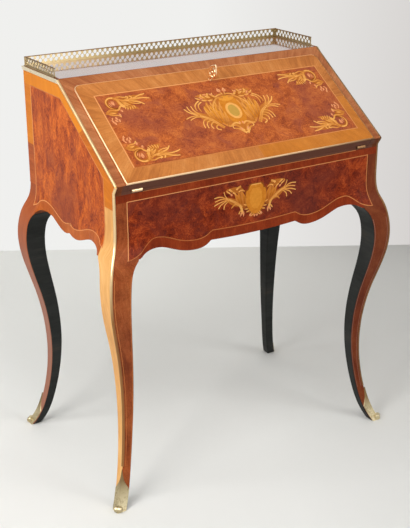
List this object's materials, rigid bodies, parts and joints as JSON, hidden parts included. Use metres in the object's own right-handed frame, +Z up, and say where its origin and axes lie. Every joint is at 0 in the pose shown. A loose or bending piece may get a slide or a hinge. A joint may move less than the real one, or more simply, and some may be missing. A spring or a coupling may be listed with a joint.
{
  "type": "escritoire",
  "caption": "Slant-front writing desk on cabriole legs, with a hinged fall, fitted interior with small drawers, a covered well and a pierced brass gallery.",
  "frame": {"origin": "on the floor under the middle of the desk, midway between the outer ends of the feet", "axes": "+X to the right of a person at the desk, -Y towards that person, +Z up"},
  "size_m": [0.7752, 0.4902, 0.936],
  "materials": {
    "veneered_leg": "polished veneer on the outer faces, ebonised on the inner faces",
    "burr_fall": "french polished burr veneer with crossbanding, stringing and marquetry",
    "burr_side": "french polished burr veneer with crossbanding and stringing",
    "burr_apron": "french polished burr veneer with crossbanding, stringing and marquetry",
    "crossband": "french polished crossbanded veneer",
    "polished_top": "french polished veneer",
    "inner_wood": "satin polished solid wood",
    "plain_oak": "unpolished carcase wood",
    "gilt_brass": "cast and chased brass with worn gilding",
    "plain_brass": "plain drawn brass",
    "steel": "filed steel",
    "leather": "tooled hide"
  },
  "bodies": {
    "case": {"back_panel": "plain_oak", "case_bottom": "plain_oak", "front_apron": "burr_apron", "front_rail": "burr_apron", "gallery_back": "gilt_brass", "gallery_left": "gilt_brass", "gallery_right": "gilt_brass", "hinge_left_case_leaf": "plain_brass", "hinge_pins": "plain_brass", "hinge_right_case_leaf": "plain_brass", "hinge_screws_case": "plain_brass", "leg_back_left": "veneered_leg", "leg_back_right": "veneered_leg", "leg_front_left": "veneered_leg", "leg_front_right": "veneered_leg", "leg_strip_left": "gilt_brass", "leg_strip_right": "gilt_brass", "lock_rail": "crossband", "nest_divider_left": "inner_wood", "nest_divider_right": "inner_wood", "nest_partition_left": "inner_wood", "nest_partition_right": "inner_wood", "nest_shelf": "inner_wood", "sabot_back_left": "gilt_brass", "sabot_back_right": "gilt_brass", "sabot_front_left": "gilt_brass", "sabot_front_right": "gilt_brass", "side_panel_left": "burr_side", "side_panel_right": "burr_side", "slope_stile_left": "crossband", "slope_stile_right": "crossband", "slope_strip_left": "gilt_brass", "slope_strip_right": "gilt_brass", "strike_plate": "plain_brass", "top_board": "polished_top", "top_moulding": "gilt_brass", "well_back": "plain_oak", "well_side_left": "plain_oak", "well_side_right": "plain_oak", "writing_bed": "inner_wood"},
    "fall": {"fall_panel": "burr_fall", "fall_moulding": "gilt_brass", "writing_leather": "leather", "lock_case": "plain_brass", "hinge_left_fall_leaf": "plain_brass", "hinge_right_fall_leaf": "plain_brass", "hinge_screws_fall": "plain_brass"},
    "lock_bolt": {"lock_bolt": "steel"},
    "key": {"key": "gilt_brass"},
    "well_lid": {"well_lid": "inner_wood"},
    "drawer_left": {"drawer_left_front": "inner_wood", "drawer_left_box": "inner_wood", "drawer_left_knob": "plain_brass"},
    "drawer_centre": {"drawer_centre_front": "inner_wood", "drawer_centre_box": "inner_wood", "drawer_centre_knob": "plain_brass"},
    "drawer_right": {"drawer_right_front": "inner_wood", "drawer_right_box": "inner_wood", "drawer_right_knob": "plain_brass"}
  },
  "joints": [
    {"name": "fall_hinge", "type": "hinge", "parent": "case", "child": "fall", "pos_m": [0, -0.206, 0.727], "axis": [1, 0, 0], "range_deg": [0, 145.7]},
    {"name": "key_turn", "type": "hinge", "parent": "fall", "child": "key", "pos_m": [0, -0.0145, 0.87216], "axis": [0, -0.5635, 0.8261], "range_deg": [0, 182]},
    {"name": "bolt_slide", "type": "slide", "parent": "fall", "child": "lock_bolt", "axis": [0, 0.8261, 0.5635], "range_m": [0, 0.0085]},
    {"name": "lid_slide", "type": "slide", "parent": "case", "child": "well_lid", "axis": [0, 1, 0], "range_m": [0, 0.125]},
    {"name": "drawer_left_slide", "type": "slide", "parent": "case", "child": "drawer_left", "axis": [0, -1, 0], "range_m": [0, 0.115]},
    {"name": "drawer_centre_slide", "type": "slide", "parent": "case", "child": "drawer_centre", "axis": [0, -1, 0], "range_m": [0, 0.115]},
    {"name": "drawer_right_slide", "type": "slide", "parent": "case", "child": "drawer_right", "axis": [0, -1, 0], "range_m": [0, 0.115]}
  ],
  "couplings": [
    {"joint": "key_turn", "follows": "bolt_slide", "rad_per_m": 369.6}
  ]
}
